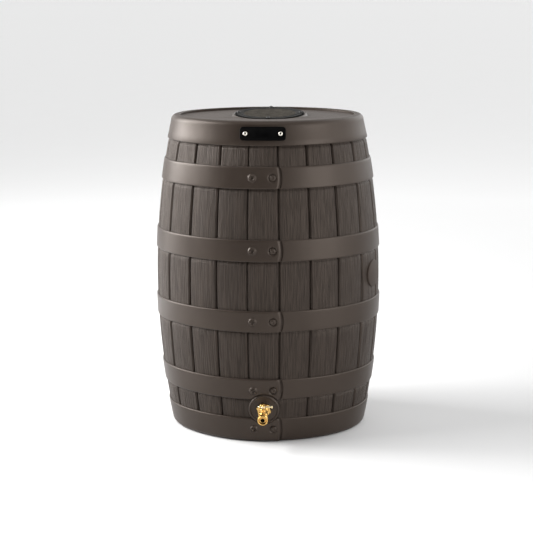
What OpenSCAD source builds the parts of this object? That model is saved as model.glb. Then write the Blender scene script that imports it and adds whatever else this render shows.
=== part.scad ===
// Rain barrel: a one-piece moulded plastic tank shaped like an oval stave cask,
// with a screened inlet on top and a brass quarter-turn spigot low on the front.
// Millimetres, +Z up, origin at the middle of the flat base.
// -Y is the front, where the spigot is, and +X is the right-hand side seen from there.

/* [Barrel] */
// Overall height of the tank, from the base to the rim
barrel_h = 851; // [700:1:1000]
// Half-width of the oval at the belly, over the staves
half_w = 302.5; // [300:0.1:320]
// Half-depth of the oval at the belly, over the staves
half_d = 254.7; // [240:0.1:260]
// Height of the widest point of the belly
belly_z = 400; // [350:1:450]
// Radius of the bow of the staves from bottom to top
bow_r = 2000; // [1500:10:3000]
// Wall thickness of the moulding
wall = 5; // [4:0.5:7]
// Rounding of the shoulder at the rim
shoulder_r = 14; // [8:1:18]
// Rounding of the edge round the base
base_round = 11; // [8:1:14]
// Depth of the top panel below the rim
panel_step = 3; // [2:0.5:5]
// Width of the rim around the top panel
rim_w = 10; // [8:1:14]

/* [Hoops] */
// How far the moulded hoops stand proud of the staves
hoop_t = 4; // [2:0.5:6]
// Width of the four hoops
hoop_w = 56; // [40:1:60]
// Height of the middle of the lowest hoop
first_hoop_z = 152.5; // [140:0.5:165]
// Distance from one hoop to the next
hoop_pitch = 185.7; // [180:0.1:188]
// Height of the band round the foot
foot_band_h = 69; // [60:1:80]
// Height of the band round the top
top_band_h = 62; // [50:1:70]
// Diameter of the moulded rivet heads
rivet_d = 19; // [14:1:24]
// Distance between the two rivet heads of a hoop joint
rivet_gap = 52; // [40:1:70]

/* [Inlet screen] */
// Height of the middle of the screen seat
seat_z = 852.4; // [851:0.1:856]
// Sideways offset of the screen seat from the middle
seat_x = 6.5; // [0:0.5:10]
// Forward slope of the screen seat, in degrees
seat_tilt = 4.3; // [0:0.1:5]
// Inside diameter of the recess that holds the screen
seat_d = 198; // [190:1:210]
// Outside diameter of the black screen frame
frame_d = 184; // [176:1:188]
// Clear diameter inside the screen frame
mesh_view_d = 139; // [120:1:142]
// Diameter of the inlet hole in the tank
inlet_d = 152; // [150:1:158]
// Diameter of the circle of four screen screws
screen_screw_circle = 166; // [164:1:170]

/* [Nameplate] */
// Width of the plate
plate_w = 117; // [100:1:130]
// Height of the plate
plate_h = 35; // [30:1:40]
// Thickness of the plate
plate_t = 3; // [2:0.5:5]
// Corner radius of the plate
plate_round = 8; // [4:1:12]
// Height of the middle of the plate above the base
plate_z = 820; // [815:1:822]
// Distance between the two plate screws
plate_screw_gap = 90; // [80:1:94]

/* [Spigot] */
// Height of the middle of the spigot boss
spigot_z = 97; // [90:1:104]
// How far the boss face stands proud of the staves
boss_proud = 7; // [6.5:0.5:10]
// Diameter of the raised boss
boss_d = 80; // [70:1:90]
// Outside diameter of the hose thread on the outlet
hose_thread_d = 27; // [26:0.1:28]
// Distance from the boss face to the mouth of the outlet
mouth_s = 66; // [62:1:80]
// Size across the flats of the inlet flange
flange_af = 33.5; // [30:0.5:38]
// Diameter of the threaded tail through the wall
tail_d = 26.4; // [25:0.1:27]
// Diameter of the ball in the valve
ball_d = 18; // [17:0.5:18]
// Length of the lever from the stem to its end
lever_l = 25; // [20:1:35]

/* [Link pad] */
// Diameter of the flat pad for a side outlet
link_d = 73; // [60:1:80]
// Height of the middle of the pad
link_z = 433; // [400:1:450]
// Direction the pad faces, in degrees round from the front
link_angle = 67; // [50:1:80]

/* [Hidden] */
$fn = 128;
eps = 0.02;

// Hoops and bands, each as [bottom, top]
hoops = [for (i = [0:3]) let (z = first_hoop_z + i * hoop_pitch) [z - hoop_w / 2, z + hoop_w / 2]];
foot_band = [base_round, foot_band_h];
top_band = [barrel_h - top_band_h, barrel_h - shoulder_r];
// The plain stretches of staves between them
gaps = concat([[foot_band_h, hoops[0][0]]],
              [for (i = [0:2]) [hoops[i][1], hoops[i + 1][0]]],
              [[hoops[3][1], top_band[0]]]);
// Every stretch of the outside from bottom to top, as [bottom, top, height proud of the staves]
stretches = concat([[foot_band[0], foot_band[1], hoop_t]],
                   [for (i = [0:3]) each [[gaps[i][0], gaps[i][1], 0], [hoops[i][0], hoops[i][1], hoop_t]]],
                   [[gaps[4][0], gaps[4][1], 0], [top_band[0], top_band[1], hoop_t]]);
steps_per_stretch = 3;
panel_z = barrel_h - panel_step;
// Heights at which a hoop joint carries its two rivet heads
rivet_zs = [foot_band_h / 2 + 4, first_hoop_z - 3, for (i = [1:3]) first_hoop_z + i * hoop_pitch];
rivet_h = 2.5;

// Wall sizes round the spigot, measured outward along its axis from the boss face
boss_wall = 6;
boss_root = 12;
pocket_d = 66;
boss_bore_d = 27.4;
gasket_t = 2;
flange_t = 6;
flange_end = gasket_t + flange_t;
inner_gasket_t = 2.5;
nut_t = 9;
nut_af = 38;
tail_end = boss_wall + inner_gasket_t + nut_t + 5;
water_d = 11;
chamber_d = 23.6;
chamber_bore_d = 19;
chamber_start = 14;
chamber_end = 40;
chamber_floor = 19;
stem_s = 28;
seat_ring_d = 18.8;
seat_ring_t = 4.5;
run_gap = 0.05;
seal_t = 1;
shoulder_t = 3;
shoulder_af = 21.6;
neck_d = 19;
thread_start = 56;
mouth_recess_d = 20;
mouth_recess_depth = 3;

// Heights above the valve axis, up the stem
tang_h = 6.4;
tang_t = 3;
tang_w = 8.8;
stem_d = 6;
stem_foot = 9.5;
stem_collar_d = 10;
collar_top = 10.35;
pocket_top = 11.2;
stem_pocket_d = 10.4;
packing_floor = 12.6;
packing_d = 10.3;
packing_top = 14.6;
bonnet_top = 16;
bonnet_d = 15;
packing_nut_af = 13;
packing_nut_top = 18.5;
lever_bottom = 18.8;
lever_top = 23;
lever_hub_d = 11;
lever_bar_h = 2.8;
lever_bar_w = 6;
lever_bar_z = 19.8;
lever_knob_d = 8;
lever_tail_l = 11;
lever_tail_knob_d = 6;
stem_square = 4.2;
lever_screw_d = 3;
lever_screw_head_d = 8;
lever_screw_head_h = 3.2;
lever_screw_depth = 6;

// Screen sizes, measured up from the middle of the sloping seat
seat_floor = -3.5;
seat_lip = 1;
seat_lip_w = 4;
seat_root = -16;
seat_flare = 7;
frame_t = 4;
frame_top = seat_floor + frame_t;
frame_skirt_d = 150;
frame_skirt_bottom = -14;
mesh_t = 1;
mesh_z = -1.5;
mesh_d = 145;
clamp_t = 4;
insert_d = 8;
insert_l = 9;
screw_d = 4;
screen_screw_head_d = 10;
screen_screw_head_h = 3;
plate_screw_head_d = 12;
plate_screw_head_h = 3.5;
plate_screw_l = 10;
socket_d = 4;
post_d = 16;
plate_gap = 1.5;
plate_proud = hoop_t + plate_gap;
slot_w = 50;
slot_h = 10;
link_proud = 3.5;

// The oval is four quarter-turn arcs: rounded ones at its ends, and flatter ones front and back.
// Every height has the same four centres, so the wall is an even offset of the oval at the belly.
// Radii and offsets are whole hundredths, so that neighbouring arcs meet exactly.
function hundredths(v) = round(v * 100) / 100;
centre_out = hundredths((half_w - half_d) / (2 - sqrt(2)));
end_r = half_w - centre_out;
face_r = half_d + centre_out;
join = 45;

// How far the staves lie inside the belly's oval at height z, as a negative offset
function bow(z) = sqrt(pow(bow_r, 2) - pow(z - belly_z, 2)) - bow_r;

// Rise of the wall's outward normal above level at height z, in degrees
function lean(z) = atan((z - belly_z) / sqrt(pow(bow_r, 2) - pow(z - belly_z, 2)));

// Point of the oval that faces phi round from the front, at an offset from the belly's oval
function oval_point(phi, offset) =
    abs(phi) < join ? [(face_r + offset) * sin(phi), centre_out - (face_r + offset) * cos(phi)]
                    : [sign(phi) * centre_out + (end_r + offset) * sin(phi), -(end_r + offset) * cos(phi)];

// Direction of the hoop's front face at a sideways distance x and height z
function front_phi(x, z) = asin(x / (face_r + bow(z) + hoop_t));

function stretch_points(low, high, proud) =
    [for (i = [0:steps_per_stretch])
        let (z = low + (high - low) * i / steps_per_stretch) [hundredths(bow(z) + proud), z]];

function corner(cx, cz, r, from, to, n) =
    [for (i = [0:n]) let (a = from + (to - from) * i / n) [hundredths(cx + r * cos(a)), cz + r * sin(a)]];

// Profiles run from bottom to top as [offset, height]
base_inset = hundredths(bow(base_round) + hoop_t - base_round);
rim_inset = hundredths(bow(top_band[1]) + hoop_t - shoulder_r);
outside_profile = concat(
    [[base_inset, -1]],
    corner(base_inset, base_round, base_round, -90, -18, 4),
    [for (s = stretches) each stretch_points(s[0], s[1], s[2])],
    corner(rim_inset, top_band[1], shoulder_r, 15, 90, 5),
    [[rim_inset - rim_w, barrel_h], [rim_inset - rim_w, panel_z]]);

floor_t = wall + 1;
inside_round = 15;
inside_low = floor_t + inside_round;
inside_high = panel_z - floor_t - inside_round;
inside_steps = 12;
inside_profile = concat(
    corner(bow(inside_low) - wall - inside_round, inside_low, inside_round, -90, 0, 3),
    [for (i = [1:inside_steps - 1])
        let (z = inside_low + (inside_high - inside_low) * i / inside_steps) [hundredths(bow(z) - wall), z]],
    corner(bow(inside_high) - wall - inside_round, inside_high, inside_round, 0, 90, 3));

// ---- Placing ----

// One arc of the oval, r in radius at the belly, swept a quarter turn from the direction start
module oval_arc(r, start, profile) {
    last = len(profile) - 1;
    rotate_extrude(start = start, angle = 90)
        polygon(concat([[0, profile[0][1]]], [for (p = profile) [r + p[0], p[1]]], [[0, profile[last][1]]]));
}

module oval_solid(profile) {
    for (side = [0, 180]) rotate([0, 0, side]) {
        translate([0, centre_out, 0]) oval_arc(face_r, -90 - join, profile);
        translate([centre_out, 0, 0]) oval_arc(end_r, -90 + join, profile);
    }
}

// Children stand on the wall with their +Z pointing out of it
module on_wall(phi, z, proud) {
    translate(concat(oval_point(phi, bow(z) + proud), [z]))
        rotate([0, 0, phi])
            rotate([90 - lean(z), 0, 0])
                children();
}

// Children stand on the spigot boss: +Z outward along the spigot, +Y up the valve stem
module on_boss() {
    on_wall(0, spigot_z, boss_proud) children();
}

// Children stand on the valve axis below the stem, with +Z up the stem
module on_stem() {
    on_boss() translate([0, 0, stem_s]) rotate([-90, 0, 0]) children();
}

// Children stand on the sloping screen seat
module on_seat() translate([seat_x, 0, seat_z]) rotate([seat_tilt, 0, 0]) children();

module at_screen_screws() {
    for (a = [0:90:270]) on_seat() rotate([0, 0, a]) translate([screen_screw_circle / 2, 0, 0]) children();
}

module at_plate_screws() {
    for (side = [-1, 1]) on_wall(0, plate_z, plate_proud) translate([side * plate_screw_gap / 2, 0, 0]) children();
}

// ---- Shared shapes ----

module tube(outer_d, inner_d, low, high) {
    translate([0, 0, low]) difference() {
        cylinder(d = outer_d, h = high - low);
        translate([0, 0, -1]) cylinder(d = inner_d, h = high - low + 2);
    }
}

module rod(d, low, high) translate([0, 0, low]) cylinder(d = d, h = high - low);

module hex_rod(af, low, high) translate([0, 0, low]) cylinder(d = af / cos(30), h = high - low, $fn = 6);

module button_screw(head_d, head_h, shank_d, shank_l) {
    difference() {
        union() {
            cylinder(d1 = head_d, d2 = head_d * 0.72, h = head_h);
            rod(shank_d, -shank_l, eps);
        }
        rod(socket_d * head_d / plate_screw_head_d, head_h - 1.6, head_h + 1);
    }
}

module round_plate(w, h, t, r) {
    union() {
        translate([-w / 2 + r, -h / 2, 0]) cube([w - 2 * r, h, t]);
        translate([-w / 2, -h / 2 + r, 0]) cube([w, h - 2 * r, t]);
        for (x = [-1, 1], y = [-1, 1]) translate([x * (w / 2 - r), y * (h / 2 - r), 0]) cylinder(r = r, h = t);
    }
}

// ---- Tank ----

module tank_wall() {
    difference() {
        oval_solid(outside_profile);
        oval_solid(inside_profile);
    }
}

module rivet_heads() {
    for (z = rivet_zs, side = [-1, 1])
        on_wall(front_phi(side * rivet_gap / 2, z), z, hoop_t) {
            rod(rivet_d, -5, rivet_h / 2);
            translate([0, 0, rivet_h / 2]) cylinder(d1 = rivet_d, d2 = rivet_d * 0.7, h = rivet_h / 2);
        }
}

module spigot_boss() {
    on_boss() {
        rod(boss_d, -boss_root, -2);
        translate([0, 0, -2]) cylinder(d1 = boss_d, d2 = boss_d - 4, h = 2);
    }
}

module link_pad() on_wall(link_angle, link_z, link_proud) rod(link_d, -link_proud - wall, 0);

module screen_seat() {
    on_seat() {
        rod(seat_d + 2 * seat_lip_w, seat_root, seat_lip);
        translate([0, 0, seat_root]) cylinder(d1 = seat_d + 2 * (seat_lip_w + seat_flare),
                                               d2 = seat_d + 2 * seat_lip_w, h = seat_lip - 1 - seat_root);
    }
}

module barrel_shell() {
    color("#6a5d54")
    difference() {
        union() {
            tank_wall();
            rivet_heads();
            spigot_boss();
            link_pad();
            at_plate_screws() rod(post_d, -plate_proud - wall, 0);
            screen_seat();
        }
        // flat base
        translate([-400, -400, -20]) cube([800, 800, 20]);
        // spigot hole and the flat pocket behind it for the gasket and nut
        on_boss() rod(boss_bore_d, -40, 1);
        on_boss() rod(pocket_d, -40, -boss_wall);
        // inlet hole and the recess that holds the screen frame
        on_seat() rod(inlet_d, seat_root - 20, 20);
        on_seat() rod(seat_d, seat_floor, 20);
        at_screen_screws() rod(insert_d, seat_floor - insert_l, 1);
        // inserts and overflow slot behind the nameplate
        at_plate_screws() rod(insert_d, -insert_l, 1);
        on_wall(0, plate_z, 0) translate([-slot_w / 2, -slot_h / 2, -30]) cube([slot_w, slot_h, 60]);
    }
}

// ---- Inlet screen ----

module screen_frame() {
    color("#17181a")
    on_seat() difference() {
        union() {
            rod(frame_d, seat_floor, frame_top - 1.5);
            translate([0, 0, frame_top - 1.5]) cylinder(d1 = frame_d, d2 = frame_d - 5, h = 1.5);
            rod(frame_skirt_d, frame_skirt_bottom, seat_floor + eps);
        }
        rod(mesh_view_d, frame_skirt_bottom - 1, 10);
        rod(mesh_d + 1, frame_skirt_bottom - 1, mesh_z + mesh_t);
        for (a = [0:90:270]) rotate([0, 0, a]) translate([screen_screw_circle / 2, 0, 0]) rod(screw_d + 0.6, -10, 10);
    }
}

module screen_mesh() {
    color("#5a5048")
    on_seat() rod(mesh_d, mesh_z, mesh_z + mesh_t);
}

module mesh_clamp_ring() {
    color("#202124")
    on_seat() tube(mesh_d + 1, mesh_view_d, mesh_z - clamp_t, mesh_z);
}

module screen_screws() {
    color("silver")
    at_screen_screws() translate([0, 0, frame_top])
        button_screw(screen_screw_head_d, screen_screw_head_h, screw_d, 10);
}

module screen_inserts() {
    color("#c9a24a")
    at_screen_screws() tube(insert_d, screw_d, seat_floor - insert_l, seat_floor);
}

// ---- Nameplate ----

module nameplate() {
    color("#151515")
    on_wall(0, plate_z, plate_proud) difference() {
        union() {
            round_plate(plate_w, plate_h, plate_t - 1, plate_round);
            translate([0, 0, plate_t - 1]) round_plate(plate_w - 2, plate_h - 2, 1, plate_round - 1);
        }
        for (side = [-1, 1]) translate([side * plate_screw_gap / 2, 0, 0]) rod(screw_d + 0.6, -1, plate_t + 1);
    }
}

module nameplate_screws() {
    color("silver")
    at_plate_screws() translate([0, 0, plate_t])
        button_screw(plate_screw_head_d, plate_screw_head_h, screw_d, plate_screw_l);
}

module nameplate_inserts() {
    color("#c9a24a")
    at_plate_screws() tube(insert_d, screw_d, -insert_l, 0);
}

// ---- Spigot, fixed pieces ----

module outer_gasket() {
    color("#1c1c1c")
    on_boss() tube(flange_af, tail_d, 0, gasket_t);
}

module spigot_body() {
    color("#c99a3c")
    difference() {
        union() {
            on_boss() {
                rod(tail_d, -tail_end, gasket_t + eps);
                rotate([0, 0, 13]) rotate([0, 0, 90]) hex_rod(flange_af, gasket_t, flange_end);
                rod(chamber_d - 2, flange_end - eps, chamber_start + eps);
                rod(chamber_d, chamber_start, chamber_end);
            }
            on_stem() rod(bonnet_d, 0, bonnet_top);
        }
        on_boss() rod(water_d, -tail_end - 1, chamber_end);
        on_boss() rod(chamber_bore_d, chamber_floor, chamber_end + 1);
        on_stem() rod(stem_pocket_d, 0, pocket_top);
        on_stem() rod(stem_d + 0.2, 0, bonnet_top + 1);
        on_stem() rod(stem_pocket_d, packing_floor, bonnet_top + 1);
    }
}

module spigot_outlet() {
    color("#d2a445")
    on_boss() difference() {
        union() {
            rod(chamber_bore_d - 0.1, stem_s + ball_d / 2, chamber_end + seal_t + eps);
            hex_rod(shoulder_af, chamber_end + seal_t, chamber_end + seal_t + shoulder_t);
            rod(neck_d, chamber_end + seal_t, thread_start + eps);
            rod(hose_thread_d, thread_start, mouth_s);
        }
        rod(water_d, 0, mouth_s + 1);
        rod(mouth_recess_d, mouth_s - mouth_recess_depth, mouth_s + 1);
    }
}

module body_seal() {
    color("#202020")
    on_boss() tube(shoulder_af, chamber_bore_d, chamber_end, chamber_end + seal_t);
}

module valve_seats() {
    color("white")
    on_boss() for (side = [-1, 1]) translate([0, 0, stem_s]) rotate([90 - 90 * side, 0, 0]) difference() {
        tube(seat_ring_d, water_d, ball_d / 2 - seat_ring_t, ball_d / 2);
        sphere(d = ball_d + 2 * run_gap);
    }
}

module thrust_washer() {
    color("white")
    on_stem() tube(stem_pocket_d - 0.2, stem_d + 0.2, collar_top + run_gap, pocket_top);
}

module stem_packing() {
    color("white")
    on_stem() tube(packing_d, stem_d + 2 * run_gap, packing_floor, packing_top);
}

module packing_nut() {
    color("#c99a3c")
    on_stem() difference() {
        union() {
            rod(packing_d, packing_top, bonnet_top + eps);
            hex_rod(packing_nut_af, bonnet_top, packing_nut_top);
        }
        rod(stem_d + 0.2, packing_top - 1, packing_nut_top + 1);
    }
}

module inner_gasket() {
    color("#1c1c1c")
    on_boss() tube(nut_af, tail_d, -boss_wall - inner_gasket_t, -boss_wall);
}

module bulkhead_nut() {
    color("#26272a")
    on_boss() difference() {
        hex_rod(nut_af, -boss_wall - inner_gasket_t - nut_t, -boss_wall - inner_gasket_t);
        rod(tail_d, -60, 0);
    }
}

// ---- Spigot, turning pieces (shown closed, with the lever across the spigot) ----

module valve_ball() {
    color("silver")
    on_stem() difference() {
        sphere(d = ball_d);
        rotate([0, 90, 0]) rod(water_d, -ball_d, ball_d);
        translate([-ball_d / 2, -tang_t / 2 - run_gap, tang_h]) cube([ball_d, tang_t + 2 * run_gap, ball_d]);
    }
}

module valve_stem() {
    color("#b98f3a")
    on_stem() difference() {
        union() {
            intersection() {
                translate([-tang_w / 2, -tang_t / 2, tang_h + run_gap]) cube([tang_w, tang_t, 4]);
                rod(tang_w, 0, stem_foot + eps);
            }
            rod(stem_collar_d, stem_foot, collar_top);
            rod(stem_d, stem_foot, lever_bottom);
            translate([-stem_square / 2, -stem_square / 2, lever_bottom - eps])
                cube([stem_square, stem_square, lever_top - lever_bottom + eps]);
        }
        rod(lever_screw_d, lever_top - lever_screw_depth, lever_top + 1);
    }
}

module lever_handle() {
    color("#d2a445")
    on_stem() difference() {
        union() {
            rod(lever_hub_d, lever_bottom, lever_top);
            translate([-lever_tail_l, -lever_bar_w / 2, lever_bar_z])
                cube([lever_tail_l + lever_l - lever_knob_d / 2, lever_bar_w, lever_bar_h]);
            translate([lever_l - lever_knob_d / 2, 0, lever_bar_z + lever_bar_h / 2]) sphere(d = lever_knob_d, $fn = 64);
            translate([-lever_tail_l, 0, lever_bar_z + lever_bar_h / 2]) sphere(d = lever_tail_knob_d, $fn = 64);
        }
        translate([-stem_square / 2 - eps, -stem_square / 2 - eps, lever_bottom - 1])
            cube([stem_square + 2 * eps, stem_square + 2 * eps, 10]);
    }
}

module lever_screw() {
    color("silver")
    on_stem() translate([0, 0, lever_top])
        button_screw(lever_screw_head_d, lever_screw_head_h, lever_screw_d - eps, lever_screw_depth - 0.5);
}

barrel_shell();
screen_frame();
screen_mesh();
mesh_clamp_ring();
screen_screws();
screen_inserts();
nameplate();
nameplate_screws();
nameplate_inserts();
outer_gasket();
spigot_body();
spigot_outlet();
body_seal();
valve_seats();
valve_ball();
valve_stem();
thrust_washer();
stem_packing();
packing_nut();
lever_handle();
lever_screw();
inner_gasket();
bulkhead_nut();
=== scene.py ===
import math
import random

import bmesh
import bpy
from mathutils import Matrix, Vector


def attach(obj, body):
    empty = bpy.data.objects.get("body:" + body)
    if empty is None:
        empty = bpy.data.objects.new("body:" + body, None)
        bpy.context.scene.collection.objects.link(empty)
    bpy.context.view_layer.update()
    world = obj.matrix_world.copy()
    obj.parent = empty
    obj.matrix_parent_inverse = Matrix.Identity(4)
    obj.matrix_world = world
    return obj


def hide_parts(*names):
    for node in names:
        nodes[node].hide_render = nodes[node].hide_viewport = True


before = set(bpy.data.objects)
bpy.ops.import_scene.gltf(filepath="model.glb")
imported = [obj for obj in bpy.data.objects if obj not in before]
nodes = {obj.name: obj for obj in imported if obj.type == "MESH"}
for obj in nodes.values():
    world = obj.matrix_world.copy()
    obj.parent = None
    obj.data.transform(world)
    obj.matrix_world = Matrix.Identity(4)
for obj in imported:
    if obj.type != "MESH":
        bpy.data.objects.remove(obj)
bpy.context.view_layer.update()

# Sizes of the barrel are in millimetres, and become metres when points are made.
MM = 0.001

# ---- Oval, bow and hoops, as in the CAD model ----
HALF_W = 302.5
HALF_D = 254.7
CENTRE_OUT = 81.6                    # from the barrel's axis to the middle of each arc of the oval
END_R = HALF_W - CENTRE_OUT
FACE_R = HALF_D + CENTRE_OUT
FACE_LEN = FACE_R * math.pi / 4      # from the front to where the end arc starts
END_LEN = END_R * math.pi / 2
GIRTH = 4 * FACE_LEN + 2 * END_LEN
BOW_R = 2000
BELLY_Z = 400
HEIGHT = 851
HOOP_T = 4
HOOP_W = 56
HOOP_MIDDLES = [152.5 + 185.7 * i for i in range(4)]
FOOT_BAND_H = 69

# ---- Base, top band, rim and top panel ----
BASE_Z = 1.5
BASE_INSET = 8
BASE_ROUND = 11
TOP_BAND_Z = HEIGHT - 62
TOP_BAND_EDGE = ((3, 4), (1.6, 3.8), (0.6, 3.2), (0, 2.2), (0, 0.8))     # (up from its lower edge, proud)
SHOULDER_R = 14
RIM_W = 10
RIM_ROUND = 1.2
PANEL_Z = HEIGHT - 6
PANEL_RING = 60                      # an extra ring of points, this far in from the panel's edge

# ---- Cavity of the tank ----
CAVITY_INSET = 9
CAVITY_FLOOR = 6
CAVITY_TOP = 839
CAVITY_FOOT = 15                     # its slanting edge at the floor
CAVITY_SHOULDER = 14                 # and at the top

# ---- Staves ----
STAVES = 21
STAVE_W = GIRTH / STAVES
GROOVE_DEPTH = 5.5
GROOVE_FLOOR = 1.1                   # half-width of the dark gap between two staves
GROOVE_WALL = 1.5                    # half-width where the chamfered edge starts
GROOVE_EDGE = 5.4                    # half-width where the chamfered edge ends
CHAMFER = 3.0
CROWN = 0.9
COLUMN_STEPS = (0, 1.1, 1.5, 1.9, 4.8, 5.4, 6.1, 13, 20, 27, 34)
STAVE_FOOT = 14
STAVE_STEP = 12
UNDERCUT = 2.2                       # depth of the hollow along the lower edge of each hoop
UNDERCUT_BELOW = 7

# ---- Hoop straps ----
LAP_S = 42                           # the strap's free end, right of the front centre
LAP_BULGE = 5                        # how far that end bows out in its middle
STRAP_T = 4
STRAP_ROOT = 8                       # depth of its hidden back, inside the staves
LAP_OUT = 6.4                        # height of the strap proud of the staves at its free end
UNDER_OUT = 2.6                      # and where it goes under that end
END_ROUNDING = {0: 3.6, 0.8: 2.7, 1.8: 1.9, 3.2: 1.0, 4.8: 0.3, 6.5: 0}
LAP_EASE = (70, 200)                 # where the end's extra height starts to fade, and over what length
TUCK_EASE = (160, 120)               # the same for the stretch that goes under it
BULGE_EASE = (40, 32)                # length over which the bowed end fades, on top and below
LAP_GAP = 3.0                        # depth of the gap along the free end
GAP_W = 6.2
GAP_EASE = 2.6
LAP_FINE = 104                       # length of the stretch that the rivets and the boss shape
FINE_STEP = 2.2
COARSE_STEP = 13
TUCK_STEPS = (46, 32, 20, 12, 8, 6, 5, 3.8, 2.6, 1, -2, -20)     # distances back from the free end
LOWER_EDGE = [(0, -1.6), (0.35, -0.75), (1.2, -0.2), (2.6, 0)]
UPPER_EDGE = [(0, -2.6), (0.5, -1.4), (1.5, -0.6), (3.0, -0.15), (4.8, 0)]
RIVET_X = (-27, 25)
RIVET_ZS = [FOOT_BAND_H / 2 + 4, HOOP_MIDDLES[0] - 3] + HOOP_MIDDLES[1:]
RIVET_LIFT = 6.2
DISH_R = 11.6                        # the right-hand rivet of each pair sits in a shallow dish
DISH_DEPTH = 3.2
DISH_EASE = 2.6

# ---- Inlet screen seat: heights are from its own sloping plane ----
SEAT_X = 6.5
SEAT_Z = 852.4
SEAT_TILT = math.radians(4.3)
RECESS_R = 95
LIP_R = 98.5                         # outside of the edge round the recess
LIP_Z = -1.2
FLARE = 0.45                         # how far the seat's side spreads for each millimetre it drops
SEAT_FLOOR = -3.5
INLET_R = 76
SEAT_ROOT = -17

# ---- Nameplate ----
PLATE_Z = 820
PLATE_PROUD = 5.5
PLATE_W = 117
PLATE_H = 35
PLATE_ROUND = 8
PLATE_SCREW_X = 45

# ---- Spigot ----
SPIGOT_Z = 97
BOSS_PROUD = 7
BOSS_R = 40
BOSS_GAP = 3                         # depth of the gap between the boss and the hoops beside it
BOSS_GAP_W = 3.5
BOSS_GAP_EASE = 2.5
STEM_S = 28
LEVER_S = 21.2                       # middle of the lever, up the stem

# ---- Link pad ----
LINK_PHI = math.radians(67)
LINK_Z = 433
LINK_PROUD = 3.5
LINK_R = 36.5


def bow(z):
    return math.sqrt(BOW_R ** 2 - (z - BELLY_Z) ** 2) - BOW_R


def lean(z):
    return math.atan2(z - BELLY_Z, math.sqrt(BOW_R ** 2 - (z - BELLY_Z) ** 2))


def phi_at(s):
    """Direction the oval faces at a distance s round its belly from the front, positive to the right."""
    s = (s + GIRTH / 2) % GIRTH - GIRTH / 2
    a = abs(s)
    if a < FACE_LEN:
        phi = a / FACE_R
    elif a < FACE_LEN + END_LEN:
        phi = math.pi / 4 + (a - FACE_LEN) / END_R
    else:
        phi = math.pi * 3 / 4 + (a - FACE_LEN - END_LEN) / FACE_R
    return math.copysign(phi, s)


def oval(phi, offset, z):
    """A point of the wall in metres: it faces phi, and lies offset outside the belly's oval."""
    a = abs(phi)
    if a < math.pi / 4:
        cx, cy, r = 0, CENTRE_OUT, FACE_R
    elif a < math.pi * 3 / 4:
        cx, cy, r = math.copysign(CENTRE_OUT, phi), 0, END_R
    else:
        cx, cy, r = 0, -CENTRE_OUT, FACE_R
    r += offset
    return Vector((cx + r * math.sin(phi), cy - r * math.cos(phi), z)) * MM


def wall_frame(phi, z, proud):
    """A frame on the wall: local Z points out of it, and local X lies level along it."""
    tilt = lean(z)
    out = Vector((math.sin(phi) * math.cos(tilt), -math.cos(phi) * math.cos(tilt), math.sin(tilt)))
    side = Vector((math.cos(phi), math.sin(phi), 0))
    up = out.cross(side)
    m = Matrix((side, up, out)).transposed().to_4x4()
    m.translation = oval(phi, bow(z) + proud, z)
    return m


def seat_frame():
    return Matrix.Translation((SEAT_X * MM, 0, SEAT_Z * MM)) @ Matrix.Rotation(SEAT_TILT, 4, "X")


BOSS = wall_frame(0, SPIGOT_Z, BOSS_PROUD)
STEM = BOSS @ Matrix.Translation((0, 0, STEM_S * MM)) @ Matrix.Rotation(-math.pi / 2, 4, "X")
SEAT = seat_frame()
PLATE = wall_frame(0, PLATE_Z, PLATE_PROUD)


# ---- Mesh helpers ----
ALL_ROUND = 1000                     # top of a zone of painted shade that isn't cut off

def smooth(t):
    t = min(max(t, 0.0), 1.0)
    return t * t * (3 - 2 * t)


def ring(bm, points):
    return [bm.verts.new(p) for p in points]


def skin(bm, a, b, closed=True):
    """Faces between two rings of equal length."""
    n = len(a)
    for i in range(n if closed else n - 1):
        j = (i + 1) % n
        bm.faces.new((a[i], a[j], b[j], b[i]))


def fan(bm, loop, point):
    tip = bm.verts.new(point)
    for i, v in enumerate(loop):
        bm.faces.new((v, loop[(i + 1) % len(loop)], tip))


def lathe(bm, profile, frame_matrix, steps=64, radius=None):
    """A solid turned round local Z. profile holds (r, z); it ends on the axis, or closes on itself.
    radius(r, angle) can change the roundness, for a hexagon."""
    rings = []
    for r, z in profile:
        if r == 0:
            rings.append(frame_matrix @ Vector((0, 0, z * MM)))
            continue
        points = []
        for i in range(steps):
            a = 2 * math.pi * i / steps
            q = radius(r, a) if radius else r
            points.append(frame_matrix @ Vector((q * math.cos(a) * MM, q * math.sin(a) * MM, z * MM)))
        rings.append(ring(bm, points))
    pairs = list(zip(rings, rings[1:]))
    if isinstance(rings[0], list):
        pairs.append((rings[-1], rings[0]))
    for a, b in pairs:
        if isinstance(a, Vector):
            fan(bm, b, a)
        elif isinstance(b, Vector):
            fan(bm, a, b)
        else:
            skin(bm, a, b)


def hexagon(af, turn=0.0):
    """Radius of a hexagon of size af across the flats in direction a, capped at r."""
    def radius(r, a):
        sector = (a - turn) % (math.pi / 3) - math.pi / 6
        return min(r, af / 2 / math.cos(sector))
    return radius


def hex_nut(bm, af, low, high, bore_r, frame_matrix, turn=0.0, chamfer_low=False):
    """A hexagon with a round bore and a turned chamfer on its outer corners."""
    corner = af / 2 / math.cos(math.pi / 6)
    face = af * 0.475
    drop = (corner - face) * 0.5
    profile = [(bore_r, low)]
    profile += [(face, low), (corner, low + drop)] if chamfer_low else [(corner, low)]
    profile += [(corner, high - drop), (face, high), (bore_r, high)]
    lathe(bm, profile, frame_matrix, 72, hexagon(af, turn))


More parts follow.
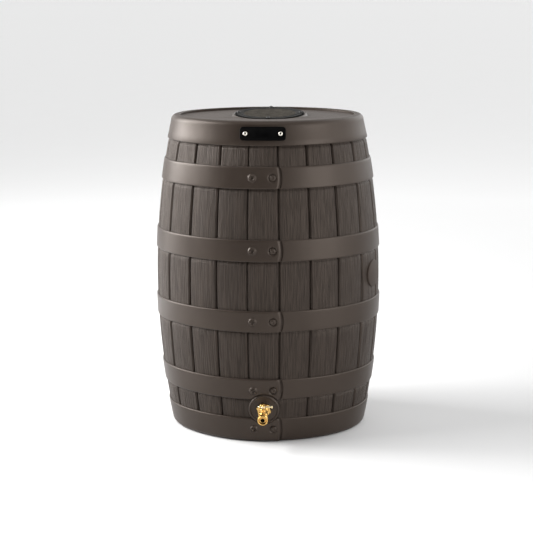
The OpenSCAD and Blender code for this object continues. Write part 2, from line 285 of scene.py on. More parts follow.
def block(bm, size, centre, frame_matrix, bevel=0.5):
    """A box with rounded edges, built in its own mesh and added to bm."""
    part = bmesh.new()
    bmesh.ops.create_cube(part, size=1.0)
    bmesh.ops.scale(part, vec=Vector(size) * MM, verts=part.verts)
    bmesh.ops.bevel(part, geom=part.edges[:], offset=bevel * MM, segments=3, profile=0.5, affect="EDGES")
    place = frame_matrix @ Matrix.Translation(Vector(centre) * MM)
    bmesh.ops.transform(part, matrix=place, verts=part.verts)
    merge(bm, part)


def ball(bm, r, centre, frame_matrix, squash=1.0):
    profile = [(0, -r * squash)]
    for i in range(1, 12):
        a = -math.pi / 2 + math.pi * i / 12
        profile.append((r * math.cos(a), r * squash * math.sin(a)))
    profile.append((0, r * squash))
    lathe(bm, profile, frame_matrix @ Matrix.Translation(Vector(centre) * MM), 32)


def merge(bm, part):
    mesh = bpy.data.meshes.new("part")
    part.to_mesh(mesh)
    part.free()
    bm.from_mesh(mesh)
    bpy.data.meshes.remove(mesh)


def rounded_loop(w, h, r, steps=8):
    """Points of a rectangle with round corners, anticlockwise."""
    points = []
    for k, (sx, sy) in enumerate(((1, 1), (-1, 1), (-1, -1), (1, -1))):
        for i in range(steps + 1):
            a = math.pi / 2 * (k + i / steps)
            points.append((sx * (w / 2 - r) + r * math.cos(a), sy * (h / 2 - r) + r * math.sin(a)))
    return points


def painted_shade(bm, frame_matrix, zones):
    """Marks the hollows that get painted shade, a darker colour that stands in for the shade there. Each
    zone is (inner r, outer r, low, high, top) round local Z, and top cuts it off at that local Y."""
    layer = bm.verts.layers.float.get("painted_shade") or bm.verts.layers.float.new("painted_shade")
    inverse = frame_matrix.inverted()
    for v in bm.verts:
        p = inverse @ v.co / MM
        r = math.hypot(p.x, p.y)
        if any(r0 <= r <= r1 and z0 <= p.z <= z1 and p.y <= top for r0, r1, z0, z1, top in zones):
            v[layer] = 1.0


def finish_piece(name, bm, material, body, replaced=(), sharp=32):
    """Turns bm into an object with outward normals and crisp edges, riding on body."""
    bmesh.ops.remove_doubles(bm, verts=bm.verts, dist=1e-7)
    bmesh.ops.recalc_face_normals(bm, faces=bm.faces)
    for f in bm.faces:
        f.smooth = True
    for e in bm.edges:
        e.smooth = not (e.is_manifold and e.calc_face_angle(0) > math.radians(sharp))
    mesh = bpy.data.meshes.new(name)
    bm.to_mesh(mesh)
    bm.free()
    mesh.materials.append(material)
    piece = bpy.data.objects.new(name, mesh)
    bpy.context.scene.collection.objects.link(piece)
    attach(piece, body)
    if replaced:
        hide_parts(*replaced)


# ---- Materials ----
PAINTED_SHADE_TONE = 0.06                                   # of a surface's own colour, as painted shade in its hollows
PLASTIC_DARK = (0.0225, 0.0158, 0.0122)
PLASTIC_LIGHT = (0.028, 0.0203, 0.0158)
STAVE_DARK = (0.0232, 0.0163, 0.0127)
GRAIN_DARK = (0.009, 0.0062, 0.0048)
DEEP_STAVE = (0.014, 0.0100, 0.0078)

def new_material(name):
    mat = bpy.data.materials.new(name)
    mat.use_nodes = True
    tree = mat.node_tree
    bsdf = tree.nodes["Principled BSDF"]
    return mat, tree, bsdf


def add(tree, kind, **properties):
    """A node with its properties set by name."""
    node = tree.nodes.new(kind)
    for key, value in properties.items():
        setattr(node, key, value)
    return node


def attribute(tree, name):
    """A number stored on the points of the mesh."""
    return add(tree, "ShaderNodeAttribute", attribute_name=name).outputs["Fac"]


def object_place(tree):
    return add(tree, "ShaderNodeTexCoord").outputs["Object"]


def separate(tree, vector):
    node = add(tree, "ShaderNodeSeparateXYZ")
    tree.links.new(vector, node.inputs[0])
    return node.outputs


def noise_texture(tree, scale, stretch=(1, 1, 1), detail=4.0, roughness=0.55, place=None):
    mapping = add(tree, "ShaderNodeMapping")
    mapping.inputs["Scale"].default_value = stretch
    texture = add(tree, "ShaderNodeTexNoise")
    texture.inputs["Scale"].default_value = scale
    texture.inputs["Detail"].default_value = detail
    texture.inputs["Roughness"].default_value = roughness
    tree.links.new(place or object_place(tree), mapping.inputs["Vector"])
    tree.links.new(mapping.outputs["Vector"], texture.inputs["Vector"])
    return texture.outputs["Fac"]


def ramp(tree, value, low, high, a, b):
    """A value that goes from a to b while value goes from low to high."""
    node = add(tree, "ShaderNodeMapRange")
    node.inputs["From Min"].default_value = low
    node.inputs["From Max"].default_value = high
    node.inputs["To Min"].default_value = a
    node.inputs["To Max"].default_value = b
    tree.links.new(value, node.inputs["Value"])
    return node.outputs["Result"]


def mix_colour(tree, factor, a, b):
    """A colour that goes from a to b as factor goes from 0 to 1."""
    node = add(tree, "ShaderNodeMix", data_type="RGBA")
    for socket, value in ((node.inputs[0], factor), (node.inputs[6], a), (node.inputs[7], b)):
        if isinstance(value, bpy.types.NodeSocket):
            tree.links.new(value, socket)
        elif isinstance(value, (int, float)):
            socket.default_value = value
        else:
            socket.default_value = (*value, 1)
    return node.outputs[2]


def maths(tree, operation, a, b=0.0):
    node = add(tree, "ShaderNodeMath", operation=operation)
    for socket, value in zip(node.inputs, (a, b)):
        if isinstance(value, bpy.types.NodeSocket):
            tree.links.new(value, socket)
        else:
            socket.default_value = value
    return node.outputs[0]


def blend(tree, factor, a, b):
    """A value that goes from a to b as factor goes from 0 to 1."""
    return maths(tree, "ADD", maths(tree, "MULTIPLY", maths(tree, "SUBTRACT", 1.0, factor), a),
                 maths(tree, "MULTIPLY", factor, b))


def bump(tree, height, distance, strength=1.0, base=None):
    node = add(tree, "ShaderNodeBump")
    node.inputs["Strength"].default_value = strength
    node.inputs["Distance"].default_value = distance
    tree.links.new(height, node.inputs["Height"])
    if base:
        tree.links.new(base, node.inputs["Normal"])
    return node.outputs["Normal"]


def surface(name, colour, roughness, metallic=0.0, mottling=0.15, mottle_scale=60.0, grain=2000.0,
            grain_depth=0.00004, rough_spread=0.08, specular=0.5):
    """A moulded, cast or turned surface: mottled colour, uneven gloss, a fine relief and painted shade in
    its hollows.
    """
    mat, tree, bsdf = new_material(name)
    broad = noise_texture(tree, mottle_scale)
    fine = noise_texture(tree, grain, detail=2.0)
    dark = [c * (1 - mottling) for c in colour]
    light = [min(1.0, c * (1 + mottling)) for c in colour]
    worn = mix_colour(tree, ramp(tree, broad, 0.3, 0.7, 0, 1), dark, light)
    # Painted shade: the colour darkens to this where the mesh marks a hollow, standing in for shade.
    hollow = [c * PAINTED_SHADE_TONE for c in colour]
    tree.links.new(mix_colour(tree, attribute(tree, "painted_shade"), worn, hollow), bsdf.inputs["Base Color"])
    rough = ramp(tree, broad, 0.3, 0.7, roughness - rough_spread, roughness + rough_spread)
    tree.links.new(rough, bsdf.inputs["Roughness"])
    tree.links.new(bump(tree, fine, grain_depth), bsdf.inputs["Normal"])
    bsdf.inputs["Metallic"].default_value = metallic
    bsdf.inputs["Specular IOR Level"].default_value = specular
    return mat


def unrolled_wall(tree, shade):
    """Place on the unrolled wall, so that the grain runs up each stave and differs between staves."""
    node = add(tree, "ShaderNodeCombineXYZ")
    height = separate(tree, object_place(tree))["Z"]
    for socket, value in zip(node.inputs, (attribute(tree, "along"), shade, height)):
        tree.links.new(value, socket)
    return node.outputs[0]


def barrel_plastic():
    """Taupe moulded plastic: smooth hoops, staves with a fine upright wood grain, and a pebbled top."""
    mat, tree, bsdf = new_material("barrel_plastic")
    stave = attribute(tree, "stave")
    shade = attribute(tree, "shade")
    normal = add(tree, "ShaderNodeNewGeometry").outputs["True Normal"]
    level = ramp(tree, separate(tree, normal)["Z"], 0.9, 0.97, 0, 1)
    matt = maths(tree, "MAXIMUM", level, attribute(tree, "matt"))

    wall = unrolled_wall(tree, shade)
    ridges = noise_texture(tree, 520, (1, 1, 0.03), 1.0, 0.4, wall)
    fibres = noise_texture(tree, 1500, (1, 1, 0.04), 1.0, 0.4, wall)
    streaks = noise_texture(tree, 60, (1, 1, 0.05), 2.0, 0.5, wall)
    clouds = noise_texture(tree, 9, (1, 1, 0.5), 3.0)
    pores = noise_texture(tree, 900, (1, 1, 1), 2.0)
    pebbles = noise_texture(tree, 260, (1, 1, 1), 3.0)

    base = mix_colour(tree, ramp(tree, clouds, 0.3, 0.7, 0, 1), PLASTIC_DARK, PLASTIC_LIGHT)
    worn = mix_colour(tree, ramp(tree, streaks, 0.35, 0.7, 0, 1), STAVE_DARK, PLASTIC_LIGHT)
    worn = mix_colour(tree, ramp(tree, ridges, 0.41, 0.55, 0.75, 0.0), worn, GRAIN_DARK)
    worn = mix_colour(tree, ramp(tree, shade, 0, 1, 0.0, 0.3), worn, DEEP_STAVE)
    tree.links.new(mix_colour(tree, stave, base, worn), bsdf.inputs["Base Color"])

    smooth_rough = blend(tree, matt, ramp(tree, clouds, 0.3, 0.7, 0.36, 0.46), 0.62)
    stave_rough = ramp(tree, ridges, 0.4, 0.6, 0.64, 0.48)
    tree.links.new(blend(tree, stave, smooth_rough, stave_rough), bsdf.inputs["Roughness"])

    grain = maths(tree, "ADD", ridges, maths(tree, "MULTIPLY", fibres, 0.35))
    relief = bump(tree, clouds, 0.0012, 0.5)
    relief = bump(tree, pores, 0.00006, 0.6, relief)
    relief = bump(tree, maths(tree, "MULTIPLY", level, pebbles), 0.0009, 1.0, relief)
    relief = bump(tree, maths(tree, "MULTIPLY", stave, grain), 0.0016, 1.0, relief)
    tree.links.new(relief, bsdf.inputs["Normal"])
    bsdf.inputs["Specular IOR Level"].default_value = 0.36
    bsdf.inputs["Specular Tint"].default_value = (1.0, 0.86, 0.76, 1)
    return mat


PLASTIC = barrel_plastic()
SCREEN_BLACK = surface("screen_black", (0.024, 0.0235, 0.0225), 0.75, mottling=0.3, specular=0.04)
MESH_BROWN = surface("mesh_brown", (0.076, 0.069, 0.059), 0.7, mottling=0.25, specular=0.05)
STEEL = surface("steel", (0.62, 0.59, 0.53), 0.32, 1.0, 0.08, 200)
DARK_STEEL = surface("dark_steel", (0.06, 0.06, 0.06), 0.5, 0.8, 0.2, 200)
PLATE_BLACK = surface("nameplate_black", (0.0012, 0.0012, 0.0013), 0.42, mottling=0.4, grain=1200,
                      specular=0.05)
BRASS = surface("spigot_brass", (0.64, 0.40, 0.13), 0.22, 0.97, 0.15, 90, 700, 0.00006)
PALE_BRASS = surface("lever_brass", (0.80, 0.68, 0.42), 0.32, 0.85, 0.08, 90, 700, 0.00006)
INSERT_BRASS = surface("insert_brass", (0.62, 0.43, 0.17), 0.4, 1.0, 0.12, 200)
RUBBER = surface("rubber", (0.018, 0.018, 0.018), 0.7, mottling=0.3)
CHROME = surface("ball_chrome", (0.78, 0.78, 0.78), 0.12, 1.0, 0.04, 120, rough_spread=0.04)
WHITE_SEAL = surface("white_seal", (0.78, 0.78, 0.75), 0.5, mottling=0.06)
NUT_BLACK = surface("nut_black", (0.022, 0.022, 0.024), 0.5, mottling=0.3)


# ---- Tank skin: wall, rim, panel, screen seat, cavity and base as one closed surface ----

def groove(t):
    """How far the surface lies inside the stave face, at a distance t from the seam."""
    if t <= GROOVE_FLOOR:
        return GROOVE_DEPTH
    if t <= GROOVE_WALL:
        return GROOVE_DEPTH + (CHAMFER - GROOVE_DEPTH) * (t - GROOVE_FLOOR) / (GROOVE_WALL - GROOVE_FLOOR)
    return CHAMFER * max(0.0, GROOVE_EDGE - t) / (GROOVE_EDGE - GROOVE_WALL)


def columns():
    """(distance round the belly, distance from the nearest seam, stave number) for each upright line."""
    half = STAVE_W / 2
    out = []
    for k in range(STAVES):
        seam = (k - STAVES / 2) * STAVE_W
        steps = list(COLUMN_STEPS) + [half] + [STAVE_W - t for t in reversed(COLUMN_STEPS[1:])]
        out += [(seam + d, min(d, STAVE_W - d), k) for d in steps]
    return out


COLUMNS = columns()
PHIS = [phi_at(s) for s, t, k in COLUMNS]


def even(low, high, step):
    """Heights strictly between low and high, about step apart."""
    n = max(1, round((high - low) / step))
    return [low + (high - low) * i / n for i in range(1, n)]


def undercut(z):
    """Depth of the soft hollow along the lower edge of each hoop and of the top band."""
    for low in [m - HOOP_W / 2 for m in HOOP_MIDDLES] + [TOP_BAND_Z]:
        if low - UNDERCUT_BELOW < z < low + 8:
            return UNDERCUT * smooth((z - low + UNDERCUT_BELOW) / 4)
    return 0.0


def stave_relief(s, t, z):
    """Height of the stave face over the even oval. The front stave is plain round the spigot."""
    if abs(s) < STAVE_W and z < HOOP_MIDDLES[0]:
        return CROWN - undercut(z)
    return CROWN * (1 - (1 - 2 * t / STAVE_W) ** 2) - groove(t) - undercut(z)


def tank_skin(bm):
    stave_layer = bm.verts.layers.float.new("stave")
    shade_layer = bm.verts.layers.float.new("shade")
    along_layer = bm.verts.layers.float.new("along")
    shades = random.Random(7)
    stave_shade = [shades.random() for _ in range(STAVES)]

    def oval_ring(z, offset, stave=0.0):
        verts = []
        for (s, t, k), phi in zip(COLUMNS, PHIS):
            relief = stave_relief(s, t, z) if stave else 0
            v = bm.verts.new(oval(phi, offset + relief, z))
            v[stave_layer] = stave
            v[shade_layer] = stave_shade[k]
            v[along_layer] = s * MM
            verts.append(v)
        return verts

    def seat_point(phi, r, z):
        return SEAT @ (Vector((r * math.sin(phi), -r * math.cos(phi), z)) * MM)

    def seat_ring(r, z, floor_z=None):
        points = []
        for phi in PHIS:
            p = seat_point(phi, r, z)
            if floor_z is not None:
                p.z = max(p.z, floor_z * MM)
            points.append(p)
        return ring(bm, points)

    def flare_foot():
        """Where the flared side of the seat meets the level panel."""
        points = []
        for phi in PHIS:
            r = LIP_R
            for _ in range(6):
                drop = (PANEL_Z - SEAT_Z + r * math.cos(phi) * math.sin(SEAT_TILT)) / math.cos(SEAT_TILT)
                r = max(LIP_R + 1.5, LIP_R + (LIP_Z - drop) * FLARE)
            p = seat_point(phi, r, min(drop, LIP_Z))
            p.z = PANEL_Z * MM
            points.append(p)
        return ring(bm, points)

    # cavity, from its floor up to the inlet
    rings = [oval_ring(CAVITY_FLOOR, bow(CAVITY_FLOOR) - CAVITY_INSET - CAVITY_FOOT)]
    eaves = CAVITY_TOP - CAVITY_SHOULDER
    for z in [CAVITY_FLOOR + CAVITY_FOOT, 100, 250, 400, 550, 700, eaves]:
        rings.append(oval_ring(z, bow(z) - CAVITY_INSET))
    rings.append(oval_ring(CAVITY_TOP, bow(eaves) - CAVITY_INSET - CAVITY_SHOULDER))
    rings.append(seat_ring(INLET_R, SEAT_ROOT))
    # seat, its edge and the panel
    rings.append(seat_ring(INLET_R, SEAT_FLOOR - 1))
    rings.append(seat_ring(INLET_R + 1, SEAT_FLOOR))
    rings.append(seat_ring(RECESS_R - 1, SEAT_FLOOR))
    rings.append(seat_ring(RECESS_R, SEAT_FLOOR + 1))
    rings.append(seat_ring(RECESS_R, LIP_Z - 0.8, PANEL_Z - 1))
    rings.append(seat_ring(RECESS_R + 0.9, LIP_Z, PANEL_Z))
    rings.append(seat_ring(LIP_R - 1, LIP_Z, PANEL_Z))
    rings.append(seat_ring(LIP_R, LIP_Z - 1, PANEL_Z))
    rings.append(flare_foot())
    rim_inset = bow(HEIGHT - SHOULDER_R) + HOOP_T - SHOULDER_R
    panel_edge = rim_inset - RIM_W
    rings.append(oval_ring(PANEL_Z, panel_edge - PANEL_RING))
    rings.append(oval_ring(PANEL_Z, panel_edge - RIM_ROUND))
    rings.append(oval_ring(PANEL_Z + 0.5, panel_edge))
    rings.append(oval_ring(HEIGHT - 1, panel_edge))
    rings.append(oval_ring(HEIGHT, panel_edge + RIM_ROUND))
    # shoulder and top band
    for i in range(8):
        a = math.pi / 2 * (1 - i / 7)
        z = HEIGHT - SHOULDER_R * (1 - math.sin(a))
        rings.append(oval_ring(z, rim_inset + SHOULDER_R * math.cos(a)))
    for z in (TOP_BAND_Z + 32, TOP_BAND_Z + 16):
        rings.append(oval_ring(z, bow(z) + HOOP_T))
    for dz, proud in TOP_BAND_EDGE:
        rings.append(oval_ring(TOP_BAND_Z + dz, bow(TOP_BAND_Z) + proud))
    # staves, which run on under the hoops
    heights = [STAVE_FOOT, TOP_BAND_Z] + [TOP_BAND_Z - d for d in (3, 5, UNDERCUT_BELOW)]
    for middle in HOOP_MIDDLES:
        heights += [middle - HOOP_W / 2 + d for d in (-UNDERCUT_BELOW, -5, -3, 0, 7)]
    between = even(STAVE_FOOT, TOP_BAND_Z, STAVE_STEP)
    heights += [z for z in between if min(abs(z - h) for h in heights) > 4]
    for z in sorted(heights, reverse=True):
        rings.append(oval_ring(z, bow(z), 1.0))
    rings.append(oval_ring(BASE_Z, bow(0) - BASE_INSET))
    for a, b in zip(rings, rings[1:]):
        skin(bm, a, b)
    fan(bm, rings[0], Vector((0, 0, CAVITY_FLOOR * MM)))
    fan(bm, rings[-1], Vector((0, 0, BASE_Z * MM)))


# ---- Hoops: straps that go once round and end on top of themselves ----

def strap_section(low, high):
    """Points of the strap's cross-section as (height, height proud of its outer face)."""
    if low == 0:
        arc = [math.pi / 2 * i / 5 for i in range(6)]
        bottom = [(0, -BASE_ROUND - 3)]
        bottom += [(BASE_ROUND * (1 - math.cos(a)), BASE_ROUND * (math.sin(a) - 1)) for a in arc]
    else:
        bottom = [(low, -STRAP_ROOT)] + [(low + z, d) for z, d in LOWER_EDGE]
    middle = [(z, 0) for z in even(bottom[-1][0], high - UPPER_EDGE[-1][0], FINE_STEP)]
    top = [(high - z, d) for z, d in reversed(UPPER_EDGE)] + [(high, -STRAP_ROOT)]
    return bottom + middle + top + ([(BASE_ROUND + 3, -STRAP_ROOT)] if low == 0 else [])


def boss_distance(s, z):
    """Distance across the boss face from its middle to a point of the front wall."""
    s = (s + GIRTH / 2) % GIRTH - GIRTH / 2
    return math.hypot(s * 0.97, (z - SPIGOT_Z) / math.cos(lean(SPIGOT_Z)))


def strap_out(d):
    """Height of the strap's outer face proud of the staves, at a distance d back from its free end."""
    out = LAP_OUT + (HOOP_T - LAP_OUT) * smooth((d - LAP_EASE[0]) / LAP_EASE[1])
    return out + (UNDER_OUT - HOOP_T) * smooth((d - GIRTH + TUCK_EASE[0]) / TUCK_EASE[1])


def strap(bm, low, high):
    """One hoop, from its free end right round to the tuck under that end."""
    section = strap_section(low, high)
    middle = (low + high) / 2
    half = (high - low) / 2
    beside_boss = low < SPIGOT_Z + BOSS_R and high > SPIGOT_Z - BOSS_R
    rivet_z = min(RIVET_ZS, key=lambda z: abs(z - middle))
    stations = list(END_ROUNDING) + even(max(END_ROUNDING), LAP_FINE, FINE_STEP) + [LAP_FINE]
    stations += even(LAP_FINE, GIRTH - TUCK_STEPS[0], COARSE_STEP) + [GIRTH - d for d in TUCK_STEPS]
    rings = []
    for d in stations:
        follow = 1 - smooth(d / BULGE_EASE[0]) + smooth((d - GIRTH + BULGE_EASE[0]) / BULGE_EASE[1])
        gap = LAP_GAP * smooth((d - GIRTH + GAP_W) / GAP_EASE)
        points = []
        for z, depth in section:
            s = LAP_S + LAP_BULGE * (1 - ((z - middle) / half) ** 2) * follow - d
            offset = strap_out(d) + depth
            if depth > -STRAP_T:
                offset -= END_ROUNDING.get(d, 0) + gap
                inside_dish = DISH_R - math.hypot(s - RIVET_X[1], z - rivet_z)
                offset -= DISH_DEPTH * smooth(inside_dish / DISH_EASE)
                if beside_boss:
                    inside_gap = BOSS_R + BOSS_GAP_W - boss_distance(s, z)
                    offset -= BOSS_GAP * smooth(inside_gap / BOSS_GAP_EASE)
            points.append(oval(phi_at(s), bow(z) + offset, z))
        rings.append(ring(bm, points))
    for a, b in zip(rings, rings[1:]):
        skin(bm, a, b)
    bm.faces.new(rings[0])
    bm.faces.new(list(reversed(rings[-1])))


# Outlines of the round shapes on the wall, as (r, height)
LEFT_RIVET = [(0, -6), (12.5, -6), (12.5, -0.2), (11.6, 0.1), (10.8, 0.6), (9.6, 2.0), (8.5, 3.4),
              (7.4, 4.1), (6.4, 4.0), (5.4, 3.1), (4.4, 1.7), (3.5, 0.7), (2.2, 0.3), (0, 0.25)]
RIGHT_RIVET = [(0, -9), (8.8, -9), (8.8, -2.6), (8.5, -1.4), (7.7, 0), (6.5, 1.1), (5.1, 1.7),
               (3.8, 1.9), (2.9, 1.6), (2.0, 0.9), (0, 0.6)]
BOSS_PROFILE = [(0, -14), (39.4, -14), (39.4, -5), (40.4, -4.2), (41, -3), (41, -1.8), (40.4, -0.4),
                (39.4, 0.9), (38.3, 1.9), (37.2, 2.3), (36.3, 2.0), (35.6, 1.1), (35.0, -0.2),
                (34.6, -0.9), (21, -0.9), (20, 0), (0, 0)]
LINK_PROFILE = [(0, -8.5), (LINK_R, -8.5), (LINK_R, -2.2), (LINK_R - 0.7, -0.8), (LINK_R - 2, 0), (0, 0)]
POST_PROFILE = [(0, -10.5), (8, -10.5), (8, 0), (0, 0)]


def rivets(bm):
    for z in RIVET_ZS:
        for x, profile in zip(RIVET_X, (LEFT_RIVET, RIGHT_RIVET)):
            lathe(bm, profile, wall_frame(math.asin(x / (FACE_R + bow(z))), z, RIVET_LIFT), 48)


def link_pad(bm):
    """The blank round pad, which is matt all over."""
    before = len(bm.verts)
    lathe(bm, LINK_PROFILE, wall_frame(LINK_PHI, LINK_Z, LINK_PROUD), 96)
    matt = bm.verts.layers.float.new("matt")
    for v in list(bm.verts)[before:]:
        v[matt] = 1.0


def barrel_skin():
    bm = bmesh.new()
    tank_skin(bm)
    strap(bm, 0, FOOT_BAND_H)
    for z in HOOP_MIDDLES:
        strap(bm, z - HOOP_W / 2, z + HOOP_W / 2)
    rivets(bm)
    lathe(bm, BOSS_PROFILE, BOSS, 128)
    link_pad(bm)
    for side in (-1, 1):
        lathe(bm, POST_PROFILE, PLATE @ Matrix.Translation((side * PLATE_SCREW_X * MM, 0, 0)), 32)
    finish_piece("barrel_skin", bm, PLASTIC, "tank", ["barrel_shell"], 40)


# ---- Inlet screen ----
SCREW_CIRCLE = 83
FRAME_TOP = 0.5
WIRE_PITCH = 3.0
WIRE_R = 0.55
WIRE_WAVE = 0.5
MESH_R = 72.5
MESH_Z = -1.0
FRAME_PROFILE = [(92, -3.5), (92, -0.8), (91.2, 0.1), (89.8, FRAME_TOP), (88.4, FRAME_TOP),
                 (87.4, FRAME_TOP), (79.6, FRAME_TOP), (78.5, FRAME_TOP - 0.3), (77.6, 0.8),
                 (76, 1.3), (74.3, 1.1), (73, 0.5), (70.4, -0.1), (69.5, -0.4), (69.5, -0.5), (73, -0.5),
                 (73, -14), (75, -14), (75, -3.5)]


def screw_places():
    return [SEAT @ Matrix.Rotation(math.pi / 2 * i, 4, "Z") @ Matrix.Translation((SCREW_CIRCLE * MM, 0, 0))
            for i in range(4)]


def button_head(bm, frame_matrix, r, h, shank_r, shank_l):
    """A domed screw head with a hexagon socket, and its shank."""
    socket = r * 0.42
    dome = [(0.96, 0), (1, 0.18), (0.93, 0.5), (0.78, 0.78), (0.6, 0.94), (0.48, 1)]
    profile = [(0, -shank_l), (shank_r, -shank_l), (shank_r, 0)] + [(r * a, h * b) for a, b in dome]
    profile += [(socket, h * 0.95), (socket * 0.96, h * 0.1), (0, h * 0.05)]
    lathe(bm, profile, frame_matrix, 48)
    # Painted shade down in the hexagon socket.
    painted_shade(bm, frame_matrix, [(0, socket * 0.97, 0, h * 0.4, ALL_ROUND)])


def screen_frame():
    bm = bmesh.new()
    lathe(bm, FRAME_PROFILE, SEAT, 160)
    for place in screw_places():
        lathe(bm, [(0, -1), (7, -1), (7, 0.9), (6.4, 1.3), (0, 1.3)], place, 32)
    # Painted shade along the ring's outer edge, where the gap round it lies in shade, and a thin painted
    # shade line near its inner edge.
    painted_shade(bm, SEAT, [(88, 93, -4, 1, ALL_ROUND), (78, 79, 0, 1, ALL_ROUND)])
    finish_piece("screen_ring", bm, SCREEN_BLACK, "tank", ["screen_frame"])
    bm = bmesh.new()
    for place in screw_places():
        button_head(bm, place @ Matrix.Translation((0, 0, 1.3 * MM)), 5.2, 3.0, 1.95, 11)
    finish_piece("screen_fixings", bm, DARK_STEEL, "tank", ["screen_screws"])


def wire(bm, along, across, level, phase):
    """One woven wire: it goes over and under the wires that cross it."""
    reach = math.sqrt(max(0.0, MESH_R ** 2 - level ** 2))
    count = int(reach / WIRE_PITCH)
    if count < 1:
        return
    rings = []
    stops = [-reach] + [i * WIRE_PITCH for i in range(-count, count + 1)] + [reach]
    for x in stops:
        z = MESH_Z + WIRE_WAVE * math.cos(math.pi * (x / WIRE_PITCH + phase))
        centre = along * x + across * level + Vector((0, 0, z))
        sides = ((0, 1), (1, 0), (0, -1), (-1, 0))
        rings.append(ring(bm, [SEAT @ ((centre + across * a * WIRE_R + Vector((0, 0, b * WIRE_R))) * MM)
                               for a, b in sides]))
    for a, b in zip(rings, rings[1:]):
        skin(bm, a, b)
    bm.faces.new(rings[0])
    bm.faces.new(list(reversed(rings[-1])))


def screen_mesh():
    """Crossed wires over the whole inlet."""
    bm = bmesh.new()
    n = int(MESH_R / WIRE_PITCH)
    x_axis, y_axis = Vector((1, 0, 0)), Vector((0, 1, 0))
    for i in range(-n, n + 1):
        wire(bm, x_axis, y_axis, i * WIRE_PITCH, i)
        wire(bm, y_axis, x_axis, i * WIRE_PITCH, i + 1)
    finish_piece("woven_mesh", bm, MESH_BROWN, "tank", ["screen_mesh"], 80)


# ---- Nameplate ----

# The plate's edge, with a raised border round its lower face, as (in from the edge, height)
PLATE_EDGE = ((0.4, 0), (0, 0.4), (0, 2.1), (0.25, 2.6), (0.9, 3.0), (2.6, 3.0), (3.1, 2.75), (3.5, 2.5))


def nameplate():
    bm = bmesh.new()
    loops = []
    for inset, z in PLATE_EDGE:
        outline = rounded_loop(PLATE_W - 2 * inset, PLATE_H - 2 * inset, PLATE_ROUND - inset)
        loops.append(ring(bm, [PLATE @ (Vector((x, y, z)) * MM) for x, y in outline]))
    for a, b in zip(loops, loops[1:]):
        skin(bm, a, b)
    bm.faces.new(loops[-1])
    bm.faces.new(list(reversed(loops[0])))
    finish_piece("blank_plate", bm, PLATE_BLACK, "tank", ["nameplate"], 50)
    bm = bmesh.new()
    for side in (-1, 1):
        place = PLATE @ Matrix.Translation((side * PLATE_SCREW_X * MM, 0, PLATE_EDGE[-1][1] * MM))
        button_head(bm, place, 6.0, 3.6, 1.95, 10)
    finish_piece("plate_fixings", bm, STEEL, "tank", ["nameplate_screws"])


# ---- Spigot, with outlines as (r, distance out from the boss face or up the stem) ----
PORT_R = 5.5
THREAD_R = 13.4
BODY_PROFILE = [(PORT_R, 7), (11.6, 7), (11.6, 8.4), (10.2, 9.4), (9.8, 11.2), (10.3, 12.8), (11.8, 14.2),
                (11.8, 17.4), (11.2, 18), (11.2, 36), (11.8, 36.6), (11.8, 39), (11.0, 40), (9.5, 40),
                (9.5, 19), (PORT_R, 19)]
BONNET_PROFILE = [(3.1, 8), (7.6, 6), (8.6, 8.2), (8.2, 10.6), (7.6, 12.2), (7.5, 15.3), (6.9, 16),
                  (5.2, 16), (5.2, 12.6), (3.1, 12.6)]
OUTLET_ROOT = [(PORT_R, 37), (9.45, 37), (9.45, 41), (10.8, 41), (10.8, 41.5), (PORT_R, 41.5)]
OUTLET_NECK = [(PORT_R, 44), (9.8, 44), (9.3, 45), (9.3, 53.6), (9.8, 55.4), (11, 56.8), (12.9, 57.6),
               (THREAD_R, 58.1), (THREAD_R, 58.7), (12.7, 59.2), (PORT_R, 59.2)]
MOUTH_PROFILE = [(PORT_R, 61.8), (12.9, 61.8), (13.3, 62.4), (13.5, 63.2), (13.5, 65), (13.1, 65.7),
                 (12.4, 66), (11.4, 66), (10.7, 65.6), (10.3, 64.8), (9.8, 63.2), (8.8, 62.4), (7.6, 62.6),
                 (7.2, 63.6), (6.9, 64.3), (6.2, 64.5), (5.6, 64.2), (PORT_R, 63.6)]
PACKING_TUBE = [(3.1, 14.6), (5.15, 14.6), (5.15, 16.2), (3.1, 16.2)]
LEVER_HUB = [(2.2, 18.8), (5.0, 18.8), (5.5, 19.3), (5.5, 22.2), (4.9, 23), (2.2, 23)]
LEVER_CAP = [(0, 20.6), (2.6, 20.6), (3.5, 21.2), (3.8, 22.1), (3.8, 23.6), (3.4, 24.6), (2.4, 25),
             (0, 25)]


def thread(bm, r, depth, pitch, low, high, bore_r, frame_matrix, steps=72):
    """A tube with a helical thread outside."""
    def bore_ring(z):
        angles = (2 * math.pi * i / steps for i in range(steps))
        points = (Vector((bore_r * math.cos(a), bore_r * math.sin(a), z)) for a in angles)
        return ring(bm, [frame_matrix @ (p * MM) for p in points])

    rows = int((high - low) / pitch * 8)
    rings = [bore_ring(low)]
    for row in range(rows + 1):
        z = low + (high - low) * row / rows
        fade = smooth(min(z - low, high - z) / (0.8 * pitch))
        points = []
        for i in range(steps):
            a = 2 * math.pi * i / steps
            turn = (z - low) / pitch - i / steps
            q = r - depth * (1 - fade * (0.5 + 0.5 * math.cos(2 * math.pi * turn)))
            points.append(frame_matrix @ (Vector((q * math.cos(a), q * math.sin(a), z)) * MM))
        rings.append(ring(bm, points))
    rings.append(bore_ring(high))
    for a, b in zip(rings, rings[1:]):
        skin(bm, a, b)
    skin(bm, rings[-1], rings[0])


def spigot_body():
    bm = bmesh.new()
    hex_nut(bm, 34.8, 2, 7.2, PORT_R, BOSS, math.radians(43))
    lathe(bm, BODY_PROFILE, BOSS, 72)
    thread(bm, 13.2, 0.8, 1.81, -22.5, 2, PORT_R, BOSS, 64)
    lathe(bm, BONNET_PROFILE, STEM, 48)
    finish_piece("spigot_casting", bm, BRASS, "tank", ["spigot_body"])


